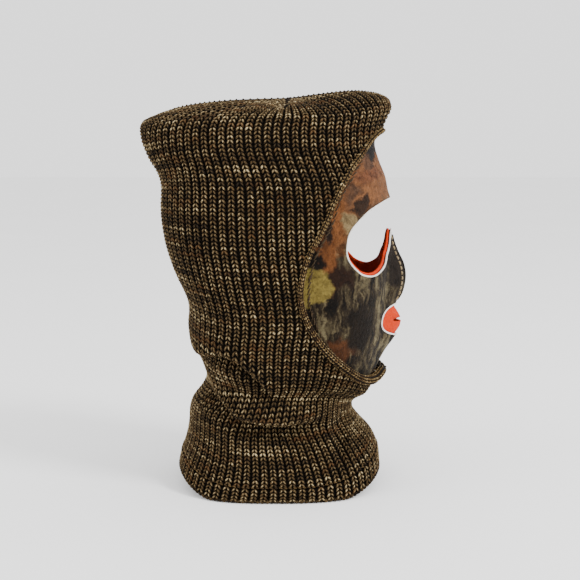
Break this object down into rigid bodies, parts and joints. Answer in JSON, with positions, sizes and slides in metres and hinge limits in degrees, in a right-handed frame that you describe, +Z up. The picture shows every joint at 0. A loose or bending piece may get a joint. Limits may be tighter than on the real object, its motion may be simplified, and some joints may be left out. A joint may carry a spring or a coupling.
{
  "type": "camo face mask",
  "caption": "Pull-on rib-knit hood mask with a sewn-in camouflage fleece face, one goggle-shaped eye opening, a seamed nose and an orange-lined mouth slit",
  "frame": {"origin": "centre of the bounding box in plan, on the surface that the neck hem stands on", "axes": "+Z is up through the crown, the face looks along -Y, and X runs across the face"},
  "size_m": [0.1732, 0.2423, 0.3574],
  "materials": {
    "rib_knit": "brown melange rib knit",
    "edge_knit": "rolled rib knit edge",
    "seam_yarn": "seam yarn",
    "camo_fleece": "printed brushed fleece",
    "orange_fleece": "brushed fleece",
    "cut_edge": "pale cut fleece edge",
    "topstitch_thread": "spun sewing thread"
  },
  "bodies": {
    "root": {"hood_knit": "rib_knit", "crown_seam_long": "seam_yarn", "crown_seam_cross": "seam_yarn", "face_edge_roll": "edge_knit", "face_panel": "camo_fleece", "face_lining": "orange_fleece", "eye_rim": "cut_edge", "mouth_rim": "cut_edge", "nose_dart_seam": "camo_fleece", "nose_topstitch_left": "topstitch_thread", "nose_topstitch_right": "topstitch_thread", "panel_seam_thread": "seam_yarn", "neck_hem": "rib_knit", "hem_stitch": "seam_yarn"}
  },
  "joints": []
}
